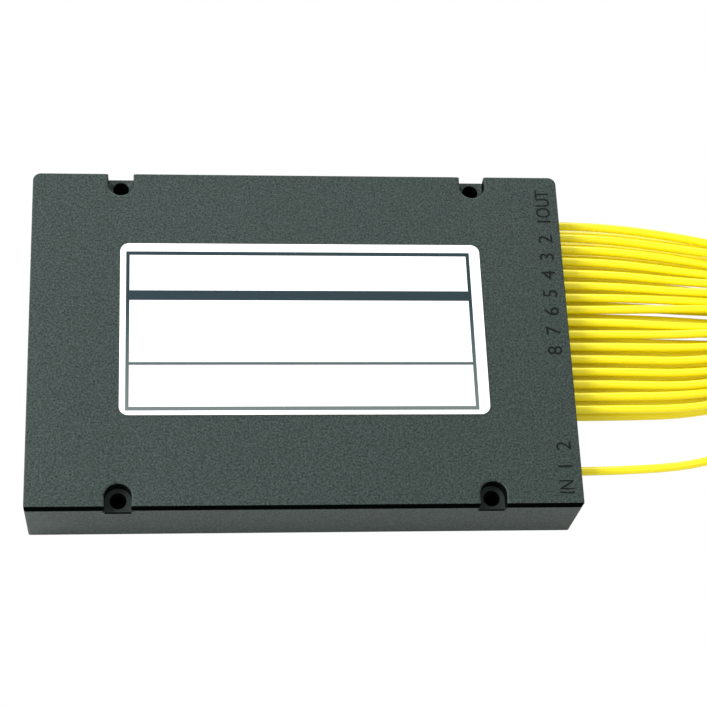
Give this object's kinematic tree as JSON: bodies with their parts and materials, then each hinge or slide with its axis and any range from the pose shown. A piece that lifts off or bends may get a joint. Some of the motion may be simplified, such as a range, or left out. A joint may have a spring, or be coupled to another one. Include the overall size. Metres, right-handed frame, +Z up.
{
  "type": "plc fibre splitter",
  "caption": "Flat moulded fibre splitter module with notched fixing lugs, yellow fibre cords from one end wall, a coiled harness and capped optical plugs.",
  "frame": {"origin": "middle of the box's underside", "axes": "+X out of the end wall with the cords, +Z up through the label, -Y towards the long side with the input port"},
  "size_m": [0.348, 0.0882, 0.101],
  "materials": {
    "moulded_abs": "fine spark-textured ABS",
    "zinc_steel": "zinc-plated steel",
    "label_film": "coated white label film",
    "potting_resin": "cast epoxy",
    "stainless_case": "drawn stainless tube",
    "silica_glass": "polished silica",
    "black_rubber": "moulded rubber",
    "fibre_buffer": "acrylate and polymer buffer",
    "cord_jacket": "extruded low-smoke polymer",
    "white_boot": "soft moulded elastomer",
    "connector_blue": "moulded PBT",
    "zirconia": "polished ceramic",
    "cap_polyethylene": "translucent polyethylene"
  },
  "bodies": {
    "root": {"housing_shell": "moulded_abs", "base_plate": "moulded_abs", "base_screws": "zinc_steel", "label": "label_film", "cord_anchor": "potting_resin", "splitter_case": "stainless_case", "waveguide_chip": "silica_glass", "input_fibre_block": "silica_glass", "output_fibre_block": "silica_glass", "input_end_boot": "black_rubber", "output_end_boot": "black_rubber", "input_fibre": "fibre_buffer", "fibre_ribbons": "fibre_buffer", "output_cord_01": "cord_jacket", "output_cord_02": "cord_jacket", "output_cord_03": "cord_jacket", "output_cord_04": "cord_jacket", "output_cord_05": "cord_jacket", "output_cord_06": "cord_jacket", "output_cord_07": "cord_jacket", "output_cord_08": "cord_jacket", "output_cord_09": "cord_jacket", "output_cord_10": "cord_jacket", "output_cord_11": "cord_jacket", "output_cord_12": "cord_jacket", "output_cord_13": "cord_jacket", "output_cord_14": "cord_jacket", "output_cord_15": "cord_jacket", "output_cord_16": "cord_jacket", "output_cord_17": "cord_jacket", "output_cord_18": "cord_jacket", "output_cord_19": "cord_jacket", "output_cord_20": "cord_jacket", "output_cord_21": "cord_jacket", "output_cord_22": "cord_jacket", "output_cord_23": "cord_jacket", "output_cord_24": "cord_jacket", "output_cord_25": "cord_jacket", "output_cord_26": "cord_jacket", "output_cord_27": "cord_jacket", "output_cord_28": "cord_jacket", "output_cord_29": "cord_jacket", "output_cord_30": "cord_jacket", "output_cord_31": "cord_jacket", "output_cord_32": "cord_jacket", "input_cord": "cord_jacket", "harness_coil": "cord_jacket", "lc_boots": "white_boot", "lc_housings": "connector_blue", "lc_ferrules": "zirconia", "lc_dust_caps": "cap_polyethylene", "sc_boot": "connector_blue", "sc_frame": "connector_blue", "sc_ferrule": "zirconia"},
    "sc_grip": {"sc_grip": "connector_blue"},
    "sc_dust_cap": {"sc_dust_cap": "cap_polyethylene"}
  },
  "joints": [
    {"name": "sc_grip_slide", "type": "slide", "parent": "root", "child": "sc_grip", "axis": [-1, 0, 0], "range_m": [0, 0.0015]},
    {"name": "sc_dust_cap_pull", "type": "slide", "parent": "root", "child": "sc_dust_cap", "axis": [1, 0, 0], "range_m": [0, 0.016]}
  ]
}
